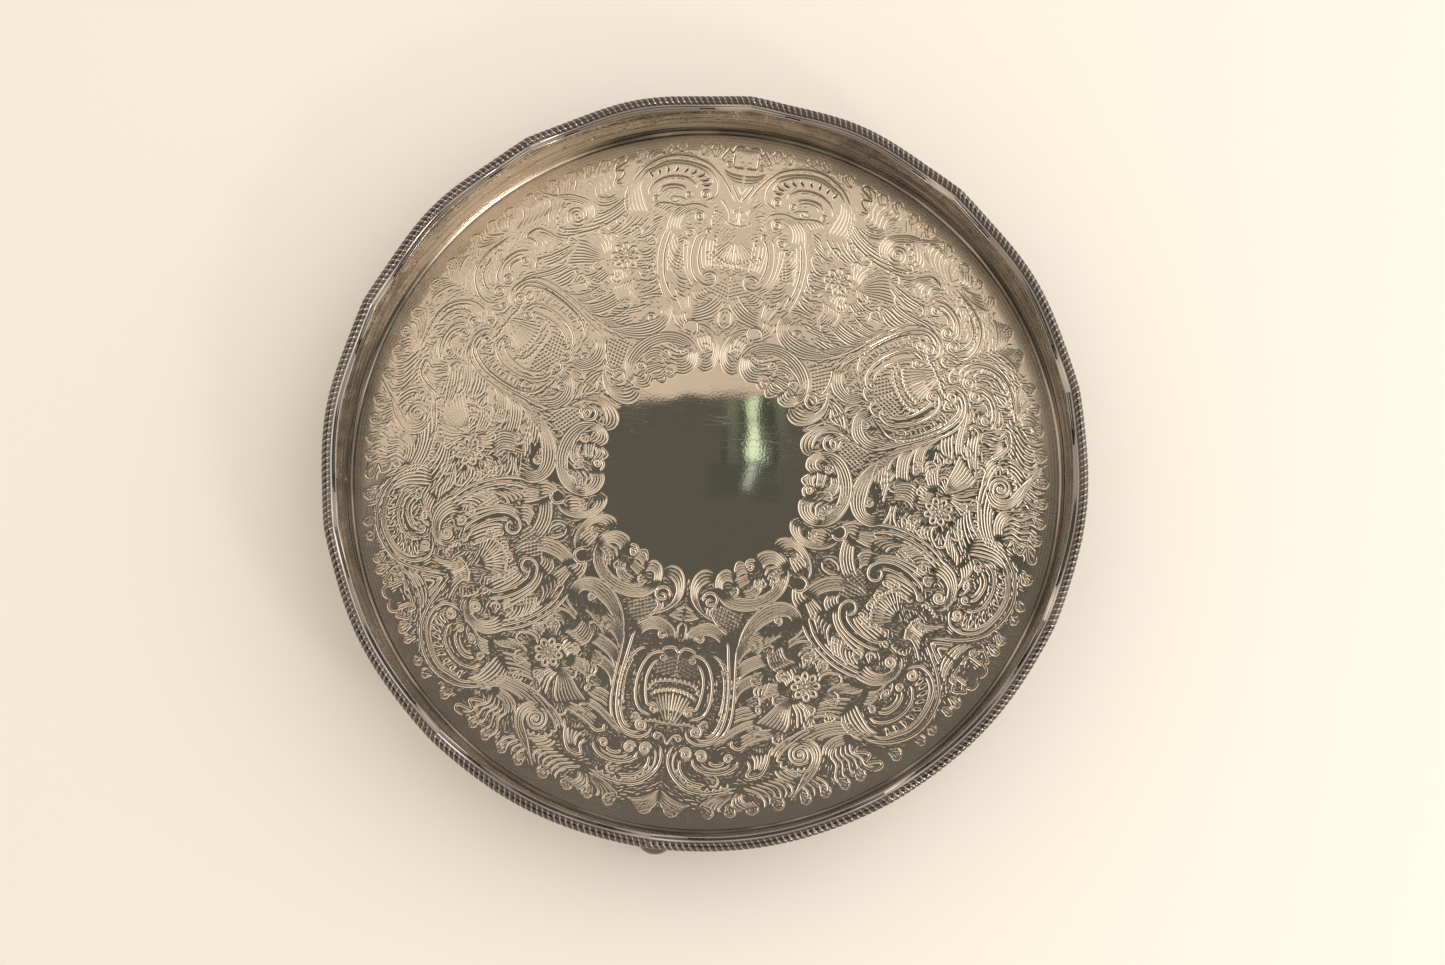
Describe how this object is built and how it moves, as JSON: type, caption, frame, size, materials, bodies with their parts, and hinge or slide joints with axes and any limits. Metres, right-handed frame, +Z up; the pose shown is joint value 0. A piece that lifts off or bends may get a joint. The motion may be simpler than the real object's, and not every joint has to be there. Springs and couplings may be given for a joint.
{
  "type": "galleried salver",
  "caption": "Round silver serving tray with a flat chased plate, an upright gallery wall, a wavy rope border and three ball feet.",
  "frame": {"origin": "on the floor, on the centre line of the round tray", "axes": "+Z up, +X to the right, -Y towards the front foot"},
  "size_m": [0.356, 0.3609, 0.0552],
  "materials": {
    "plate_silver": "chased and lightly tarnished silver plate, semi-polished",
    "band_silver": "rolled silver plate, horizontal polishing marks, tarnished",
    "border_silver": "cast silver plate, polished ridges with dark recesses",
    "foot_silver": "polished silver plate",
    "tarnish_dark": "dark tarnished silver"
  },
  "bodies": {
    "root": {"tray_plate": "plate_silver", "gallery_band": "band_silver", "foot_moulding": "band_silver", "gallery_seam_strip": "band_silver", "seam_rivets": "tarnish_dark", "border_section_01": "border_silver", "border_section_02": "border_silver", "border_section_03": "border_silver", "border_section_04": "border_silver", "border_section_05": "border_silver", "border_section_06": "border_silver", "border_section_07": "border_silver", "border_section_08": "border_silver", "border_section_09": "border_silver", "border_section_10": "border_silver", "ball_foot_front": "foot_silver", "ball_foot_right": "foot_silver", "ball_foot_left": "foot_silver", "foot_collar_front": "band_silver", "foot_collar_right": "band_silver", "foot_collar_left": "band_silver"}
  },
  "joints": []
}
